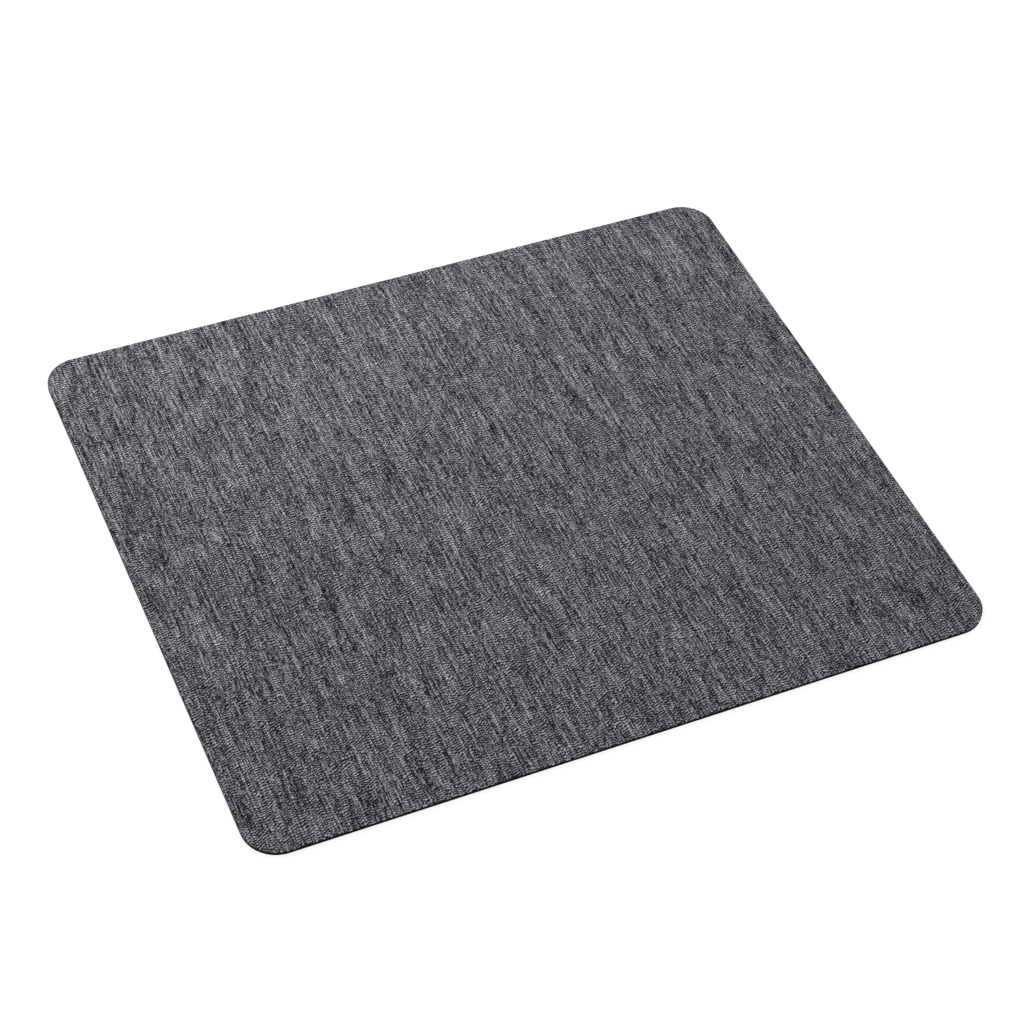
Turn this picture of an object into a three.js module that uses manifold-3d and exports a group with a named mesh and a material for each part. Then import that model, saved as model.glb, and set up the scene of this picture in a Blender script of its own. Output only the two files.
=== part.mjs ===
// Mouse pad: a heathered knit cloth bonded by a hot-melt film to a thin black rubber sheet, die-cut
// to a rectangle with round corners. Under the rubber is a moulded anti-slip tread.
// Millimetres. X is the width, Y the depth, away from the user, and Z is up. The pad lies on Z = 0 with
// its middle over the origin.
import * as THREE from "three";
import { mergeVertices } from "three/addons/utils/BufferGeometryUtils.js";
import Module from "manifold-3d";

// Die-cut outline
const PAD_WIDTH = 235;
const PAD_DEPTH = 200;
const CORNER_RADIUS = 10.5;
const CORNER_DIVISIONS = 12; // each corner's arc has twice as many straight steps

// Layers, from the desk up
const BASE_THICKNESS = 1.1;
const FILM_THICKNESS = 0.05;
const CLOTH_THICKNESS = 0.4;

// The cutting die presses the cloth's upper edge round
const CLOTH_EDGE_RADIUS = 0.15;
const CLOTH_EDGE_STEPS = 4;

// Anti-slip tread: two crossing sets of V grooves leave diamond lands, inside a plain rim
const TREAD_RIM = 4;
const GROOVE_SPACING = 8; // between neighbouring grooves, square to them
const GROOVE_ANGLE_DEG = 30; // from X, one set each way
const GROOVE_WIDTH = 1.2; // at the mouth
const GROOVE_DEPTH = 0.25;

const FLATNESS = 0.001; // neighbouring facets that are this near to one plane are one face

// Heights where the layers meet
const BASE_TOP = BASE_THICKNESS;
const FILM_TOP = BASE_TOP + FILM_THICKNESS;
const CLOTH_TOP = FILM_TOP + CLOTH_THICKNESS;

const QUARTER_TURN = Math.PI / 2;

// The pad's outline drawn in by inset. A corner whose radius is used up stays square.
function outline(inset) {
  const radius = Math.max(CORNER_RADIUS - inset, 0);
  const reachX = PAD_WIDTH / 2 - inset - radius;
  const reachY = PAD_DEPTH / 2 - inset - radius;
  const corners = [
    [reachX, reachY],
    [-reachX, reachY],
    [-reachX, -reachY],
    [reachX, -reachY],
  ];
  const shape = new THREE.Shape();
  corners.forEach(([x, y], turn) => {
    shape.absarc(x, y, radius, turn * QUARTER_TURN, (turn + 1) * QUARTER_TURN);
  });
  return shape;
}

// A closed solid through a stack of outlines. profile lists [inset, z] from the bottom up.
function loft(profile) {
  const rings = profile.map(([inset]) => outline(inset).extractPoints(CORNER_DIVISIONS).shape);
  const count = rings[0].length;
  const last = rings.length - 1;
  const positions = rings.flatMap((ring, level) => ring.flatMap((p) => [p.x, p.y, profile[level][1]]));
  const indices = [];
  for (const [a, b, c] of THREE.ShapeUtils.triangulateShape(rings[0], [])) {
    indices.push(c, b, a);
  }
  for (const [a, b, c] of THREE.ShapeUtils.triangulateShape(rings[last], [])) {
    indices.push(last * count + a, last * count + b, last * count + c);
  }
  for (let level = 0; level < last; level += 1) {
    for (let i = 0; i < count; i += 1) {
      const here = level * count + i;
      const next = level * count + ((i + 1) % count);
      indices.push(here, next, next + count, here, next + count, here + count);
    }
  }
  const geometry = new THREE.BufferGeometry();
  geometry.setAttribute("position", new THREE.Float32BufferAttribute(positions, 3));
  geometry.setIndex(indices);
  return geometry;
}

// Booleans
const wasm = await Module();
wasm.setup();

function solidOf(geometry) {
  const bare = new THREE.BufferGeometry();
  bare.setAttribute("position", geometry.getAttribute("position"));
  bare.setIndex(geometry.getIndex());
  const merged = mergeVertices(bare);
  return new wasm.Manifold(
    new wasm.Mesh({
      numProp: 3,
      vertProperties: merged.getAttribute("position").array,
      triVerts: new Uint32Array(merged.getIndex().array),
    }),
  );
}

// A cut solid's geometry, with the flat faces that the cuts left in pieces joined again
function geometryOf(solid) {
  const mesh = solid.asOriginal().simplify(FLATNESS).getMesh();
  const geometry = new THREE.BufferGeometry();
  geometry.setAttribute("position", new THREE.BufferAttribute(mesh.vertProperties, 3));
  geometry.setIndex(new THREE.BufferAttribute(mesh.triVerts, 1));
  return geometry;
}

// One groove's cutter: a V whose sides run on below the base, offset from the pad's middle
function grooveCutter(angle, offset) {
  const v = new THREE.Shape();
  v.moveTo(0, GROOVE_DEPTH);
  v.lineTo(-GROOVE_WIDTH, -GROOVE_DEPTH);
  v.lineTo(GROOVE_WIDTH, -GROOVE_DEPTH);
  const length = Math.hypot(PAD_WIDTH, PAD_DEPTH);
  const prism = new THREE.ExtrudeGeometry(v, { depth: length, bevelEnabled: false });
  prism.translate(0, 0, -length / 2);
  const along = new THREE.Vector3(Math.cos(angle), Math.sin(angle), 0);
  const up = new THREE.Vector3(0, 0, 1);
  const across = new THREE.Vector3().crossVectors(up, along);
  const place = new THREE.Matrix4().makeBasis(across, up, along);
  place.setPosition(across.clone().multiplyScalar(offset));
  prism.applyMatrix4(place);
  return solidOf(prism);
}

// Every groove of both sets, ending at the rim. The middle of the pad is the middle of a land.
function treadCutter() {
  const slope = THREE.MathUtils.degToRad(GROOVE_ANGLE_DEG);
  const reach = (PAD_WIDTH * Math.sin(slope) + PAD_DEPTH * Math.cos(slope)) / 2;
  const grooves = Math.ceil(reach / GROOVE_SPACING);
  const past = 2 * GROOVE_DEPTH; // the field reaches past the grooves, above and below
  const field = solidOf(loft([[TREAD_RIM, -past], [TREAD_RIM, past]]));
  let cutter;
  for (const angle of [slope, -slope]) {
    for (let i = -grooves; i < grooves; i += 1) {
      const groove = grooveCutter(angle, (i + 0.5) * GROOVE_SPACING);
      cutter = cutter ? cutter.add(groove) : groove;
    }
  }
  return cutter.intersect(field);
}

function rubberBase() {
  const sheet = solidOf(loft([[0, 0], [0, BASE_TOP]]));
  return geometryOf(sheet.subtract(treadCutter()));
}

function adhesiveFilm() {
  return loft([[0, BASE_TOP], [0, FILM_TOP]]);
}

function fabricTop() {
  const profile = [[0, FILM_TOP]];
  for (let step = 0; step <= CLOTH_EDGE_STEPS; step += 1) {
    const turn = (step / CLOTH_EDGE_STEPS) * QUARTER_TURN;
    const inset = CLOTH_EDGE_RADIUS * (1 - Math.cos(turn));
    const drop = CLOTH_EDGE_RADIUS * (1 - Math.sin(turn));
    profile.push([inset, CLOTH_TOP - drop]);
  }
  return loft(profile);
}

// Each layer is one named mesh with its own material
function layer(name, geometry, look) {
  const flat = geometry.toNonIndexed();
  flat.computeVertexNormals();
  const mesh = new THREE.Mesh(flat, new THREE.MeshStandardMaterial({ metalness: 0, ...look }));
  mesh.name = name;
  return mesh;
}

const pad = new THREE.Group();
pad.name = "mouse_pad";
pad.add(layer("rubber_base", rubberBase(), { color: 0x1d1d1e, roughness: 0.85 }));
pad.add(layer("adhesive_film", adhesiveFilm(), { color: 0x2b2b2d, roughness: 0.6 }));
pad.add(layer("fabric_top", fabricTop(), { color: 0x626166, roughness: 0.95 }));

export default pad;
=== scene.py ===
# Mouse pad: the looks of a heathered knit cloth bonded to a thin black rubber sheet.
import math

import bmesh
import bpy
from mathutils import Matrix, Vector, noise


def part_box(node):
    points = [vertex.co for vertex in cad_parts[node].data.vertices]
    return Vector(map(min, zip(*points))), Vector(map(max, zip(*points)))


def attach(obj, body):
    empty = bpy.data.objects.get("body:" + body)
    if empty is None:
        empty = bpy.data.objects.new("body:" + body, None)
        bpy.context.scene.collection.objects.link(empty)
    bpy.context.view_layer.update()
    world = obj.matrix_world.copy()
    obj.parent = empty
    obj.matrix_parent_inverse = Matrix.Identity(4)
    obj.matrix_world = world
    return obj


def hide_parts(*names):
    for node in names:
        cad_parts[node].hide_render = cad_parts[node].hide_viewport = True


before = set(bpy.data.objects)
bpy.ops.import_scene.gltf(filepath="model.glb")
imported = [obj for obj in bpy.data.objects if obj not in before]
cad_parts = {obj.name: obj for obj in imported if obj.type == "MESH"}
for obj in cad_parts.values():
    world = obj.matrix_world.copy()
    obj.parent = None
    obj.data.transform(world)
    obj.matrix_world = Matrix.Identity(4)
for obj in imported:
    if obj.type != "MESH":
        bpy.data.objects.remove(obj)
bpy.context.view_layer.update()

MM = 0.001

# Outline of the die-cut pad, with the boxes of its layers from the frame
CLOTH_LOW, CLOTH_HIGH = (Vector(corner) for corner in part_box("fabric_top"))
FILM_LOW, FILM_HIGH = (Vector(corner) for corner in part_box("adhesive_film"))
BASE_LOW, BASE_HIGH = (Vector(corner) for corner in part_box("rubber_base"))
HALF_WIDTH = CLOTH_HIGH.x
HALF_DEPTH = CLOTH_HIGH.y
CORNER_RADIUS = 10.5 * MM
CORNER_STEPS = 24

# Meshes
SAME_PLACE = 0.001 * MM  # points that are this near share a vertex
GRID_STEP = 1.6 * MM  # spacing of the grid of the cloth and of the rubber's top
FILM_GRID_STEP = 4 * GRID_STEP
RIM_STEPS = 6  # rows of the grid across the corner radius
EDGE_STEPS = 5  # steps round an edge, and down the rubber's wall
CLOTH_EDGE_RADIUS = 0.12 * MM
CLOTH_WAVE = 0.012 * MM  # how far the cloth rises and falls
CLOTH_WAVE_LENGTH = 14 * MM
CUT_WAVER = 0.03 * MM  # how far a cut edge wanders
CUT_WAVER_LENGTH = 1.3 * MM
CLOTH_CUT_SEED = 3.0
BASE_CUT_SEED = 11.0
FILM_SETBACK = 0.03 * MM
BASE_EDGE_RADIUS = 0.05 * MM
BASE_WAIST = 0.02 * MM  # how far the cut rubber draws in at half its height
CLOTH_SHARP_DEGREES = 50  # a sharper edge than this is shaded as one
BASE_SHARP_DEGREES = 35

# Anti-slip tread under the base
TREAD_RIM = 4 * MM
TREAD_CORNER_STEPS = 10
TREAD_CUT_DISTANCE = 0.0005 * MM  # a point this near to a cut lies on it
GROOVE_SPACING = 8 * MM
GROOVE_ANGLE = math.radians(30)
GROOVE_WIDTH = 1.2 * MM
GROOVE_DEPTH = 0.25 * MM
GROOVE_RUN_OUT = 0.8 * MM  # a groove ends in a ramp of this length
GROOVE_LINES = (-0.5, -0.25, 0.0, 0.25, 0.5)  # lines along a groove, in shares of its width

# Knit of the cloth. Its lengths are in millimetres, like the places that its shader works with
WALE = 0.35  # from one wale, a line of stitches along Y, to the next
COURSE = 0.87  # from one row of stitches to the next
COLUMN_WALES = 2  # wales in a column. A row of stitches runs on inside a column
ROW_SLANT = 0.2  # rise of a row for each millimetre across
ROW_DRIFT = 3.2  # slow wandering of a row
ROW_JITTER = 1.2  # quick wandering of a row
ROW_SEED = 5.0
DASH_EDGE = 0.4  # how soft the ends of a loop are
CROWN = 0.4  # share of a loop's height that it loses at its sides
LOOP_MEAN = 0.43  # mean height of the loops and the gaps between them
LOOP_SHADE_PATCHES = 3.0  # how much the loops' painted shade comes and goes
RUN_SHIFT = 90.0  # how far along the pad the runs of two columns may be apart
RUN_SEED = 9.0
SPECK_SEED = 2.0

# Light and dark of the knit, with painted shade between its loops, and its finish
LONG_RUNS = 2.5
SHORT_RUNS = 2.6
BUNDLES = 0.45
RUN_RANGE = (-0.7, 0.9)  # beyond it a run is wholly dark or wholly light
RUN_CONTRAST = 1.21
SPECK_CONTRAST = 1.3
# painted shade: gaps between the loops darker, loop tops lighter
LOOP_SHADE_CONTRAST = 1.27
TONE_SHIFT = -0.027
LEAST_TONE = 0.02
TONE_POWER = 1.25
YARN_LIGHT = 0.2195
CLOTH_TINT = (1.02, 1.0, 1.08)
# a faint bluish painted sheen, added over the knit's colour
CLOTH_PAINTED_SHEEN = (0.001, 0.0, 0.0055)
CLOTH_ROUGHNESS = 0.95
LOOP_POLISH = 0.08
LOOP_RELIEF = 0.08 * MM

# Rubber: greys in linear light on the cut edge, on the moulded skin below and on its rubbed lands
CUT_GREY = 0.003
CUT_BLOOM = 0.006
CUT_GRAIN = 0.004
SKIN_GREY = 0.01
SKIN_BLOOM = 0.02
SKIN_MOTTLE = 0.025
LAND_GREY = 0.007
LEAST_GREY = 0.001
UNDERSIDE = (0.2, 0.6)  # from where a face turns down until it counts as the underside
LAND_FADE = (0.02, 0.15)  # millimetres up the side of a groove in which the rubbing ends
RUBBER_TINT = (1.0, 1.0, 1.04)
RUBBER_ROUGHNESS = 0.8
RUBBER_UNEVENNESS = 0.3  # how much grain and mottle change the roughness
LAND_POLISH = 0.25
GRAIN_RELIEF = 0.06 * MM
PORE_SHARE = 0.6  # depth of the pores, against the grain

# Film
FILM_GREY = 0.024
FILM_MOTTLE = 0.02
FILM_TINT = (1.0, 1.0, 1.05)
FILM_ROUGHNESS = 0.5
FILM_UNEVENNESS = 0.3
FILM_RELIEF = 0.02 * MM

SEED_STEP = (1.0, 1.7, 0.6)  # how far a noise moves for each step of its seed

# Camera, fitted to the photograph's silhouette
IMAGE_SIZE = 1024
FOCAL_PIXELS = 2469.0
CAMERA_AZIMUTH = math.radians(-27.75)
CAMERA_ELEVATION = math.radians(48.37)
CAMERA_ROLL = math.radians(5.39)
CAMERA_DISTANCE = 762.9 * MM
PAD_RIGHT_OF_AXIS = -2.72 * MM
PAD_ABOVE_AXIS = 5.71 * MM
SENSOR_WIDTH = 36.0

# Floor and light
FLOOR_REACH = 4.0
FLOOR_GAP = 0.02 * MM  # keeps the floor's face apart from the pad's
FLOOR_PAINT = 0.3
FLOOR_GLOW = 0.81
ROOM_LIGHT = 0.64
LAMP_PLACE = (-0.05, 0.2, 0.18)
LAMP_SIZE = 0.3
LAMP_POWER = 0.46


# Outlines, grids and meshes

def rounded_outline(inset, counts):
    """Points and outward normals round the pad's outline drawn in by inset, anticlockwise.

    counts is the number of steps along X, along Y and round a corner."""
    along_x, along_y, round_corner = counts
    radius = CORNER_RADIUS - inset
    reach = Vector((HALF_WIDTH - CORNER_RADIUS, HALF_DEPTH - CORNER_RADIUS))
    corners = ((1, -1), (1, 1), (-1, 1), (-1, -1))
    points = []
    for turn, (side_x, side_y) in enumerate(corners):
        centre = Vector((side_x * reach.x, side_y * reach.y))
        for step in range(round_corner + 1):
            angle = (turn - 1 + step / round_corner) * math.pi / 2
            normal = Vector((math.cos(angle), math.sin(angle)))
            points.append((centre + radius * normal, normal))
        normal = points[-1][1]
        run = along_y if turn % 2 == 0 else along_x
        next_x, next_y = corners[(turn + 1) % 4]
        end = Vector((next_x * reach.x, next_y * reach.y)) + radius * normal
        start = points[-1][0]
        for step in range(1, run):
            points.append((start.lerp(end, step / run), normal))
    return points


class Solid:
    """A mesh under construction, whose vertices are shared by place."""

    def __init__(self):
        self.places = {}
        self.verts = []
        self.faces = []

    def vertex(self, point):
        key = tuple(round(value / SAME_PLACE) for value in point)
        if key not in self.places:
            self.places[key] = len(self.verts)
            self.verts.append(tuple(point))
        return self.places[key]

    def face(self, points):
        corners = []
        for point in points:
            index = self.vertex(point)
            if index not in corners:
                corners.append(index)
        self.faces.append(corners)

    def mesh(self, name):
        mesh = bpy.data.meshes.new(name)
        mesh.from_pydata(self.verts, [], self.faces)
        mesh.update()
        return mesh


def grid_counts(step):
    """Steps along X and along Y between the corners' centres, and round a corner."""
    along_x = round(2 * (HALF_WIDTH - CORNER_RADIUS) / step)
    along_y = round(2 * (HALF_DEPTH - CORNER_RADIUS) / step)
    return along_x, along_y, CORNER_STEPS


def add_cap(solid, inset, counts, height):
    """Fills the outline drawn in by inset with quads. height(x, y) gives each point's Z."""
    along_x, along_y, round_corner = counts
    radius = CORNER_RADIUS - inset
    reach_x = HALF_WIDTH - CORNER_RADIUS
    reach_y = HALF_DEPTH - CORNER_RADIUS
    rows_x = [reach_x * (2 * i / along_x - 1) for i in range(along_x + 1)]
    rows_y = [reach_y * (2 * i / along_y - 1) for i in range(along_y + 1)]
    rim = [radius * i / RIM_STEPS for i in range(RIM_STEPS + 1)]

    def quad(*flat):
        solid.face([(x, y, height(x, y)) for x, y in flat])

    def patch(xs, ys):
        for x0, x1 in zip(xs, xs[1:]):
            for y0, y1 in zip(ys, ys[1:]):
                quad((x0, y0), (x1, y0), (x1, y1), (x0, y1))

    low_x = [-reach_x - r for r in reversed(rim)]
    low_y = [-reach_y - r for r in reversed(rim)]
    high_x = [reach_x + r for r in rim]
    high_y = [reach_y + r for r in rim]
    patch(rows_x, rows_y)
    patch(low_x, rows_y)
    patch(high_x, rows_y)
    patch(rows_x, low_y)
    patch(rows_x, high_y)
    for turn, (side_x, side_y) in enumerate(((1, 1), (-1, 1), (-1, -1), (1, -1))):
        centre = Vector((side_x * reach_x, side_y * reach_y))

        def polar(r, step):
            angle = (turn + step / round_corner) * math.pi / 2
            return centre + r * Vector((math.cos(angle), math.sin(angle)))

        for r0, r1 in zip(rim, rim[1:]):
            for step in range(round_corner):
                quad(polar(r0, step), polar(r1, step), polar(r1, step + 1), polar(r0, step + 1))


def add_wall(solid, profile, counts, place):
    """Joins rings of the outline. profile lists (inset, z) from the top down, and place moves a point."""
    rings = []
    for level, (inset, z) in enumerate(profile):
        outline = rounded_outline(inset, counts)
        rings.append([place(point, normal, z, level) for point, normal in outline])
    count = len(rings[0])
    for upper, lower in zip(rings, rings[1:]):
        for i in range(count):
            k = (i + 1) % count
            solid.face([upper[i], lower[i], lower[k], upper[k]])


def edge_round(radius, top):
    """(inset, z) pairs round an upper edge, from the flat top to the wall."""
    pairs = []
    for step in range(EDGE_STEPS + 1):
        turn = step / EDGE_STEPS * math.pi / 2
        pairs.append((radius * (1 - math.sin(turn)), top - radius * (1 - math.cos(turn))))
    return pairs


def waver(point, z, seed):
    """The small wandering of a die-cut edge, from -1 to 1."""
    at = Vector((point.x, point.y, z)) / CUT_WAVER_LENGTH
    return noise.noise(at + Vector((seed, 0, 0)))


def new_piece(name, mesh, node, material):
    """Puts a piece in the scene in place of its CAD node."""
    piece = bpy.data.objects.new(name, mesh)
    bpy.context.collection.objects.link(piece)
    piece.data.materials.append(material)
    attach(piece, "root")
    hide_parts(node)
    return piece


def smooth_by_angle(mesh, degrees):
    """Shades smooth, with sharp edges where faces meet at more than this angle."""
    mesh.shade_smooth()
    shape = bmesh.new()
    shape.from_mesh(mesh)
    limit = math.radians(degrees)
    for edge in shape.edges:
        edge.smooth = edge.calc_face_angle(math.pi) < limit
    shape.to_mesh(mesh)
    shape.free()


# Pieces

def cloth_mesh():
    """The knit cloth: a faintly wavy top, a pressed round upper edge and a cut side."""
    counts = grid_counts(GRID_STEP)
    solid = Solid()

    def top_height(x, y):
        return CLOTH_HIGH.z + CLOTH_WAVE * (noise.noise(Vector((x, y, 0)) / CLOTH_WAVE_LENGTH) - 1)

    def place(point, normal, z, level):
        held = level / (EDGE_STEPS + 1)
        moved = point + normal * CUT_WAVER * held * (waver(point, z, CLOTH_CUT_SEED) - 1)
        drop = CLOTH_HIGH.z - top_height(point.x, point.y)
        return (moved.x, moved.y, z - drop * (1 - held))

    add_cap(solid, CLOTH_EDGE_RADIUS, counts, top_height)
    profile = edge_round(CLOTH_EDGE_RADIUS, CLOTH_HIGH.z)
    profile.append((0.0, CLOTH_LOW.z))
    add_wall(solid, profile, counts, place)
    return close_bottom(solid.mesh("knit_cloth"))


def close_bottom(mesh):
    """Closes a mesh whose lowest ring is open, with one flat face."""
    shape = bmesh.new()
    shape.from_mesh(mesh)
    ring = [edge for edge in shape.edges if edge.is_boundary]
    bmesh.ops.holes_fill(shape, edges=ring, sides=0)
    bmesh.ops.recalc_face_normals(shape, faces=shape.faces)
    shape.to_mesh(mesh)
    shape.free()
    return mesh


def film_mesh():
    """The adhesive film, a hair inside the outline."""
    counts = grid_counts(FILM_GRID_STEP)
    solid = Solid()
    add_cap(solid, FILM_SETBACK, counts, lambda x, y: FILM_HIGH.z)

    def place(point, normal, z, level):
        return (point.x, point.y, z)

    add_wall(solid, [(FILM_SETBACK, FILM_HIGH.z), (FILM_SETBACK, FILM_LOW.z)], counts, place)
    return close_bottom(solid.mesh("bonding_film"))


def groove_offsets():
    """Where the lines of one set of grooves lie, measured square to them from the pad's middle."""
    reach = HALF_WIDTH * math.sin(GROOVE_ANGLE) + HALF_DEPTH * math.cos(GROOVE_ANGLE)
    grooves = math.ceil(reach / GROOVE_SPACING)
    return [
        (i + 0.5) * GROOVE_SPACING + share * GROOVE_WIDTH
        for i in range(-grooves, grooves)
        for share in GROOVE_LINES
    ]


def groove_share(offset):
    """How deep a groove is at this offset, from 0 on a land to 1 at the bottom."""
    from_middle = abs((offset / GROOVE_SPACING) % 1 - 0.5) * GROOVE_SPACING
    return 0.5 + 0.5 * math.cos(math.pi * min(1, from_middle / (GROOVE_WIDTH / 2)))


def inside_rim(x, y):
    """How far a point lies inside the tread's outline."""
    radius = CORNER_RADIUS - TREAD_RIM
    past_x = abs(x) - (HALF_WIDTH - CORNER_RADIUS)
    past_y = abs(y) - (HALF_DEPTH - CORNER_RADIUS)
    outside = math.hypot(max(past_x, 0), max(past_y, 0))
    return radius - outside - min(max(past_x, past_y), 0)


def cut_to_outline(shape, inset, clear):
    """Cuts a flat mesh along the outline drawn in by inset, and clears what is outside if asked."""
    outline = [point for point, _ in rounded_outline(inset, (1, 1, TREAD_CORNER_STEPS))]
    for start, end in zip(outline, outline[1:] + outline[:1]):
        side = end - start
        bmesh.ops.bisect_plane(
            shape,
            geom=shape.verts[:] + shape.edges[:] + shape.faces[:],
            dist=TREAD_CUT_DISTANCE,
            plane_co=(start.x, start.y, 0),
            plane_no=(side.y, -side.x, 0),
            clear_outer=clear,
        )


def tread_mesh():
    """The underside's field of diamond lands, facing down. Its outline is the rim's inner edge."""
    solid = Solid()
    offsets = groove_offsets()
    margin = 2 * GROOVE_SPACING  # lands up to this far past the rim are kept until the cut

    def crossing(first, second):
        x = (second - first) / (2 * math.sin(GROOVE_ANGLE))
        y = (first + second) / (2 * math.cos(GROOVE_ANGLE))
        return (x, y, 0.0)

    for a0, a1 in zip(offsets, offsets[1:]):
        for b0, b1 in zip(offsets, offsets[1:]):
            corners = [crossing(a0, b0), crossing(a0, b1), crossing(a1, b1), crossing(a1, b0)]
            if min(inside_rim(x, y) for x, y, _ in corners) > -margin:
                solid.face(corners)
    mesh = solid.mesh("tread")
    shape = bmesh.new()
    shape.from_mesh(mesh)
    cut_to_outline(shape, TREAD_RIM, clear=True)
    cut_to_outline(shape, TREAD_RIM + GROOVE_RUN_OUT, clear=False)
    for vert in shape.verts:
        x, y, _ = vert.co
        first = y * math.cos(GROOVE_ANGLE) - x * math.sin(GROOVE_ANGLE)
        second = y * math.cos(GROOVE_ANGLE) + x * math.sin(GROOVE_ANGLE)
        run_out = min(1, max(0, inside_rim(x, y) / GROOVE_RUN_OUT))
        share = max(groove_share(first), groove_share(second)) * run_out
        vert.co.z = BASE_LOW.z + GROOVE_DEPTH * share
    bmesh.ops.reverse_faces(shape, faces=shape.faces)
    shape.to_mesh(mesh)
    shape.free()
    return mesh


def base_mesh():
    """The rubber sheet: a die-cut wall, drawn in at its waist, and the tread underneath."""
    counts = grid_counts(GRID_STEP)
    solid = Solid()
    add_cap(solid, 0.0, counts, lambda x, y: BASE_HIGH.z)
    height = BASE_HIGH.z - BASE_LOW.z
    upper = edge_round(BASE_EDGE_RADIUS, BASE_HIGH.z)
    lower = [(inset, BASE_LOW.z + BASE_HIGH.z - z) for inset, z in upper]
    profile = [(0.0, BASE_HIGH.z)]
    for step in range(1, EDGE_STEPS):
        z = BASE_HIGH.z - (height - BASE_EDGE_RADIUS) * step / EDGE_STEPS
        profile.append((0.0, z))
    profile += reversed(lower)
    last = len(profile) - 1

    def place(point, normal, z, level):
        waist = math.sin(math.pi * (z - BASE_LOW.z) / height)
        held = 0 if level in (0, last) else 1
        inward = BASE_WAIST * waist + CUT_WAVER * held * (1 - waver(point, z, BASE_CUT_SEED)) / 2
        moved = point - normal * inward
        return (moved.x, moved.y, z)

    add_wall(solid, profile, counts, place)
    shape = bmesh.new()
    for part in (solid.mesh("rubber_wall"), tread_mesh()):
        shape.from_mesh(part)
        bpy.data.meshes.remove(part)
    rim = [edge for edge in shape.edges if edge.is_boundary]
    bmesh.ops.triangle_fill(shape, edges=rim, use_beauty=True)
    bmesh.ops.recalc_face_normals(shape, faces=shape.faces)
    mesh = bpy.data.meshes.new("rubber_sheet")
    shape.to_mesh(mesh)
    shape.free()
    return mesh


# Materials

class Shader:
    """A node material under construction."""

    def __init__(self, name):
        self.material = bpy.data.materials.new(name)
        self.material.use_nodes = True
        self.tree = self.material.node_tree
        self.tree.nodes.clear()
        self.output = self.tree.nodes.new("ShaderNodeOutputMaterial")
        self.surface = self.tree.nodes.new("ShaderNodeBsdfPrincipled")
        self.tree.links.new(self.surface.outputs["BSDF"], self.output.inputs["Surface"])
        place = self.tree.nodes.new("ShaderNodeTexCoord")
        self.point = self.vector("SCALE", place.outputs["Object"], 1 / MM)
        parts = self.tree.nodes.new("ShaderNodeSeparateXYZ")
        self.put(parts.inputs[0], self.point)
        self.x, self.y, self.z = parts.outputs
        turned = self.tree.nodes.new("ShaderNodeSeparateXYZ")
        self.put(turned.inputs[0], place.outputs["Normal"])
        self.facing_up = turned.outputs["Z"]

    def put(self, socket, value):
        """Links a socket, or sets a constant on it."""
        if isinstance(value, bpy.types.NodeSocket):
            self.tree.links.new(value, socket)
        else:
            socket.default_value = value

    def math(self, operation, first, second=0.0, third=0.0):
        node = self.tree.nodes.new("ShaderNodeMath")
        node.operation = operation
        for socket, value in zip(node.inputs, (first, second, third)):
            self.put(socket, value)
        return node.outputs[0]

    def vector(self, operation, first, second):
        node = self.tree.nodes.new("ShaderNodeVectorMath")
        node.operation = operation
        self.put(node.inputs[0], first)
        self.put(node.inputs["Scale" if operation == "SCALE" else 1], second)
        return node.outputs[0]

    def sum(self, *terms):
        """Adds (weight, value) terms."""
        total = 0.0
        for weight, value in terms:
            total = self.math("MULTIPLY_ADD", value, weight, total)
        return total

    def combine(self, x, y, z=0.0):
        node = self.tree.nodes.new("ShaderNodeCombineXYZ")
        for socket, value in zip(node.inputs, (x, y, z)):
            self.put(socket, value)
        return node.outputs[0]

    def noise(self, cycles, seed, detail=2.0, at=None):
        """Smooth noise about 0. cycles is how many of its cells lie in one unit along X, Y and Z."""
        stretched = self.vector("MULTIPLY", at or self.point, cycles)
        moved = self.vector("ADD", stretched, [seed * step for step in SEED_STEP])
        node = self.tree.nodes.new("ShaderNodeTexNoise")
        node.noise_dimensions = "3D"
        self.put(node.inputs["Vector"], moved)
        node.inputs["Scale"].default_value = 1.0
        node.inputs["Detail"].default_value = detail
        return self.math("SUBTRACT", node.outputs["Fac"], 0.5)

    def smooth_step(self, value, low, high):
        """0 below low, 1 above high, and a smooth change between."""
        node = self.tree.nodes.new("ShaderNodeMapRange")
        node.interpolation_type = "SMOOTHSTEP"
        self.put(node.inputs["Value"], value)
        node.inputs["From Min"].default_value = low
        node.inputs["From Max"].default_value = high
        return node.outputs["Result"]

    def random(self, at):
        """A random value about 0 for each place."""
        node = self.tree.nodes.new("ShaderNodeTexWhiteNoise")
        node.noise_dimensions = "3D"
        self.put(node.inputs["Vector"], at)
        return self.math("SUBTRACT", node.outputs["Value"], 0.5)

    def bump(self, height, distance):
        """Raises the surface by height times distance."""
        node = self.tree.nodes.new("ShaderNodeBump")
        node.inputs["Strength"].default_value = 1.0
        node.inputs["Distance"].default_value = distance
        self.put(node.inputs["Height"], height)
        self.put(self.surface.inputs["Normal"], node.outputs["Normal"])

    def colour(self, tint, grey, painted_sheen=(0, 0, 0)):
        """Colours the surface with a tint times a grey level in linear light, and a painted sheen added
        over it.
        """
        tinted = self.vector("SCALE", tint, grey)
        self.put(self.surface.inputs["Base Color"], self.vector("ADD", tinted, painted_sheen))

    def roughness(self, *terms):
        """Sets the roughness to the sum of (weight, value) terms."""
        self.put(self.surface.inputs["Roughness"], self.sum(*terms))

    def constant(self, **values):
        """Sets sockets of the shader that are the same all over."""
        for name, value in values.items():
            self.surface.inputs[name.replace("_", " ")].default_value = value


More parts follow.
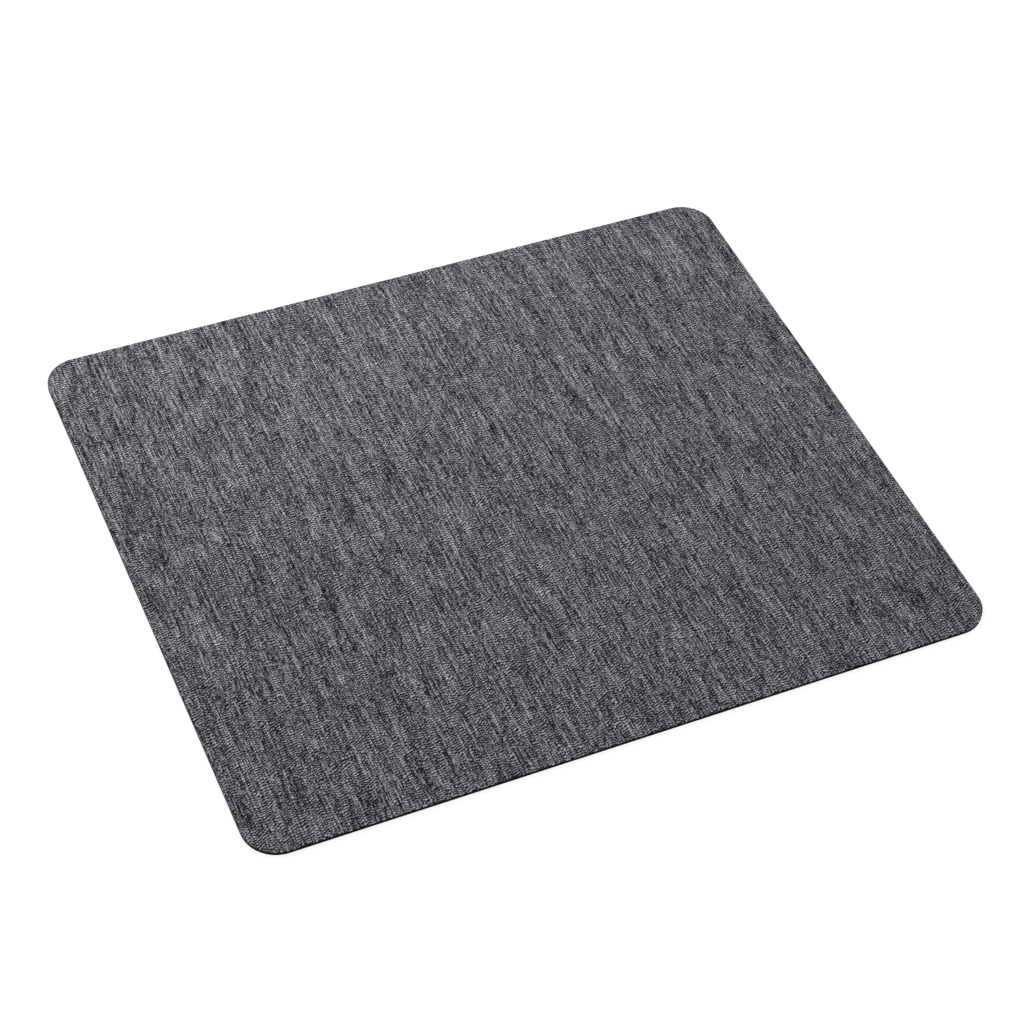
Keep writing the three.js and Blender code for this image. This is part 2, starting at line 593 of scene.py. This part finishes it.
def knit_material():
    """Heathered warp knit: light and dark runs of yarn along the wales, and short rows of loops, with
    painted shade that darkens the gaps between loops and lightens their tops.
    """
    s = Shader("heather_knit")

    # Wales, and the columns that neighbouring wales make up
    sway = s.noise(cycles=(0.05, 0.03, 0.0), seed=4.0)
    across = s.math("DIVIDE", s.math("ADD", s.x, sway), WALE)
    wale = s.math("FLOOR", across)
    in_wale = s.math("FRACT", across)
    column = s.math("FLOOR", s.math("DIVIDE", wale, COLUMN_WALES))
    beside = s.combine(s.math("MULTIPLY", column, COLUMN_WALES * WALE), s.y)

    # Rows of stitches, which start afresh in each column
    drift = s.noise(cycles=(0.45, 0.16, 0.0), seed=9.0, at=beside)
    jitter = s.noise(cycles=(1.1, 0.25, 0.0), seed=12.0, detail=1.0, at=beside)
    row = s.sum((1.0, s.y), (-ROW_SLANT, s.x), (ROW_DRIFT, drift), (ROW_JITTER, jitter))
    start = s.random(s.combine(column, ROW_SEED))
    along = s.math("ADD", start, s.math("DIVIDE", row, COURSE))
    stitch = s.math("FLOOR", along)
    in_stitch = s.math("FRACT", along)

    # Loops: a dash in each stitch, highest along the middle of its wale
    crown = s.math("SINE", s.math("MULTIPLY", in_wale, math.pi))
    swing = s.math("SINE", s.math("MULTIPLY", in_stitch, 2 * math.pi))
    dash = s.smooth_step(swing, -DASH_EDGE, DASH_EDGE)
    loop = s.math("MULTIPLY", s.math("MULTIPLY_ADD", crown, CROWN, 1 - CROWN), dash)
    # Painted shade from the loops' height: darker in the gaps and at the wales' sides, lighter on top
    patch = s.noise(cycles=(0.5, 0.1, 0.0), seed=41.0, at=beside)
    strength = s.sum((LOOP_SHADE_PATCHES, patch), (1.0, 1.0))
    painted_loop_shade = s.math("MULTIPLY", s.math("SUBTRACT", loop, LOOP_MEAN), strength)

    # Runs of light and dark yarn. Whole cycles across the wales, and the half in the seed, put each wale
    # in the middle of a cell of the noise
    place = s.math("MULTIPLY_ADD", s.random(s.combine(column, RUN_SEED)), RUN_SHIFT, s.y)
    strand = s.combine(wale, place)
    long_run = s.noise(cycles=(1.0, 0.042, 0.0), seed=21.5, at=strand)
    short_run = s.noise(cycles=(5.0, 0.13, 0.0), seed=27.5, at=strand)
    bundle = s.noise(cycles=(0.25, 0.03, 0.0), seed=33.0)
    speck = s.random(s.combine(wale, stitch, SPECK_SEED))
    heather = s.sum((LONG_RUNS, long_run), (SHORT_RUNS, short_run), (BUNDLES, bundle))
    bounded = s.smooth_step(heather, *RUN_RANGE)

    tone = s.sum(
        (RUN_CONTRAST, bounded),
        (SPECK_CONTRAST, speck),
        (LOOP_SHADE_CONTRAST, painted_loop_shade),
        (1.0, TONE_SHIFT),
    )
    held = s.math("POWER", s.math("MAXIMUM", tone, LEAST_TONE), TONE_POWER)
    s.colour(CLOTH_TINT, s.math("MULTIPLY", held, YARN_LIGHT), CLOTH_PAINTED_SHEEN)
    s.bump(loop, LOOP_RELIEF)
    s.roughness((-LOOP_POLISH, loop), (1.0, CLOTH_ROUGHNESS))
    s.constant(Specular_IOR_Level=0.1, Sheen_Weight=0.1, Sheen_Roughness=0.5)
    return s.material


def rubber_material():
    """Black rubber: a porous cut edge, and a moulded skin below, with a grey bloom and rubbed lands."""
    s = Shader("black_rubber")
    bloom = s.noise(cycles=(0.04, 0.05, 0.3), seed=3.0, detail=4.0)
    grain = s.noise(cycles=(3.0, 3.0, 3.0), seed=8.0, detail=3.0)
    pores = s.noise(cycles=(5.0, 5.0, 7.0), seed=15.0, detail=1.0)
    mottle = s.noise(cycles=(0.6, 0.6, 0.6), seed=19.0, detail=4.0)
    under = s.smooth_step(s.math("MULTIPLY", s.facing_up, -1.0), *UNDERSIDE)
    rubbed = s.math("SUBTRACT", 1.0, s.smooth_step(s.z, *LAND_FADE))
    land = s.math("MULTIPLY", under, rubbed)
    moulded = s.sum((SKIN_BLOOM, bloom), (SKIN_MOTTLE, mottle), (1.0, SKIN_GREY))
    skin = s.math("MULTIPLY", under, moulded)
    grey = s.sum(
        (CUT_BLOOM, bloom),
        (CUT_GRAIN, grain),
        (1.0, skin),
        (LAND_GREY, land),
        (1.0, CUT_GREY),
    )
    s.colour(RUBBER_TINT, s.math("MAXIMUM", grey, LEAST_GREY))
    s.bump(s.sum((1.0, grain), (PORE_SHARE, pores)), GRAIN_RELIEF)
    s.roughness(
        (RUBBER_UNEVENNESS, grain),
        (RUBBER_UNEVENNESS, mottle),
        (-LAND_POLISH, land),
        (1.0, RUBBER_ROUGHNESS),
    )
    s.constant(Specular_IOR_Level=0.03)
    return s.material


def film_material():
    """Dark hot-melt film, slightly mottled."""
    s = Shader("hot_melt_film")
    mottle = s.noise(cycles=(0.8, 0.8, 0.8), seed=5.0, detail=3.0)
    s.colour(FILM_TINT, s.sum((FILM_MOTTLE, mottle), (1.0, FILM_GREY)))
    s.roughness((FILM_UNEVENNESS, mottle), (1.0, FILM_ROUGHNESS))
    s.bump(mottle, FILM_RELIEF)
    return s.material


# Stage

def add_camera():
    """The photograph's camera. It is placed from where the pad lies in its view."""
    data = bpy.data.cameras.new("camera")
    data.sensor_width = SENSOR_WIDTH
    data.lens = FOCAL_PIXELS / IMAGE_SIZE * SENSOR_WIDTH
    camera = bpy.data.objects.new("camera", data)
    bpy.context.collection.objects.link(camera)
    tilt = Matrix.Rotation(math.pi / 2 - CAMERA_ELEVATION, 3, "X")
    level = Matrix.Rotation(CAMERA_AZIMUTH, 3, "Z") @ tilt
    turned = level @ Matrix.Rotation(CAMERA_ROLL, 3, "Z")
    to_pad = Vector((-PAD_RIGHT_OF_AXIS, -PAD_ABOVE_AXIS, CAMERA_DISTANCE))
    camera.matrix_world = Matrix.Translation(turned @ to_pad) @ turned.to_4x4()
    bpy.context.scene.camera = camera


def seen(tree):
    """1 for rays on which the background shows white, straight on or by reflection, and 0 for the rest."""
    ray = tree.nodes.new("ShaderNodeLightPath")
    total = ray.outputs["Is Camera Ray"]
    for name in ("Is Glossy Ray", "Is Transmission Ray"):
        either = tree.nodes.new("ShaderNodeMath")
        either.operation = "MAXIMUM"
        tree.links.new(total, either.inputs[0])
        tree.links.new(ray.outputs[name], either.inputs[1])
        total = either.outputs[0]
    return total


def add_floor():
    """A pale floor that shows as white and keeps the pad's shadow.

    It is clear from below, so that views from there show the tread."""
    mesh = bpy.data.meshes.new("floor")
    corners = [(x * FLOOR_REACH, y * FLOOR_REACH, 0) for x, y in ((-1, -1), (1, -1), (1, 1), (-1, 1))]
    mesh.from_pydata(corners, [], [(0, 1, 2, 3)])
    floor = bpy.data.objects.new("floor", mesh)
    bpy.context.collection.objects.link(floor)
    floor.location.z = -FLOOR_GAP
    floor.visible_diffuse = False
    floor.visible_shadow = False
    material = bpy.data.materials.new("floor")
    material.use_nodes = True
    tree = material.node_tree
    tree.nodes.clear()
    output = tree.nodes.new("ShaderNodeOutputMaterial")
    paint = tree.nodes.new("ShaderNodeBsdfDiffuse")
    paint.inputs["Color"].default_value = (FLOOR_PAINT, FLOOR_PAINT, FLOOR_PAINT, 1)
    glow = tree.nodes.new("ShaderNodeEmission")
    strength = tree.nodes.new("ShaderNodeMath")
    strength.operation = "MULTIPLY"
    tree.links.new(seen(tree), strength.inputs[0])
    strength.inputs[1].default_value = FLOOR_GLOW
    tree.links.new(strength.outputs[0], glow.inputs["Strength"])
    both = tree.nodes.new("ShaderNodeAddShader")
    tree.links.new(paint.outputs[0], both.inputs[0])
    tree.links.new(glow.outputs[0], both.inputs[1])
    side = tree.nodes.new("ShaderNodeNewGeometry")
    clear = tree.nodes.new("ShaderNodeBsdfTransparent")
    shown = tree.nodes.new("ShaderNodeMixShader")
    tree.links.new(side.outputs["Backfacing"], shown.inputs[0])
    tree.links.new(both.outputs[0], shown.inputs[1])
    tree.links.new(clear.outputs[0], shown.inputs[2])
    tree.links.new(shown.outputs[0], output.inputs["Surface"])
    mesh.materials.append(material)


def add_light():
    """An even white room, and a large soft lamp above the far side."""
    world = bpy.data.worlds.new("studio")
    world.use_nodes = True
    tree = world.node_tree
    tree.nodes.clear()
    output = tree.nodes.new("ShaderNodeOutputWorld")
    room = tree.nodes.new("ShaderNodeBackground")
    room.inputs["Color"].default_value = (1, 1, 1, 1)
    strength = tree.nodes.new("ShaderNodeMapRange")
    strength.inputs["To Min"].default_value = ROOM_LIGHT
    strength.inputs["To Max"].default_value = 1.0
    tree.links.new(seen(tree), strength.inputs["Value"])
    tree.links.new(strength.outputs[0], room.inputs["Strength"])
    tree.links.new(room.outputs[0], output.inputs["Surface"])
    bpy.context.scene.world = world

    data = bpy.data.lights.new("soft_lamp", "AREA")
    data.shape = "SQUARE"
    data.size = LAMP_SIZE
    data.energy = LAMP_POWER
    lamp = bpy.data.objects.new("soft_lamp", data)
    bpy.context.collection.objects.link(lamp)
    lamp.location = LAMP_PLACE
    lamp.rotation_euler = lamp.location.to_track_quat("Z", "Y").to_euler()
    lamp.visible_camera = False


add_camera()
add_floor()
add_light()

cloth = new_piece("knit_cloth", cloth_mesh(), "fabric_top", knit_material())
new_piece("bonding_film", film_mesh(), "adhesive_film", film_material())
base = new_piece("rubber_sheet", base_mesh(), "rubber_base", rubber_material())
smooth_by_angle(cloth.data, CLOTH_SHARP_DEGREES)
smooth_by_angle(base.data, BASE_SHARP_DEGREES)

bpy.context.scene.view_settings.view_transform = "Standard"
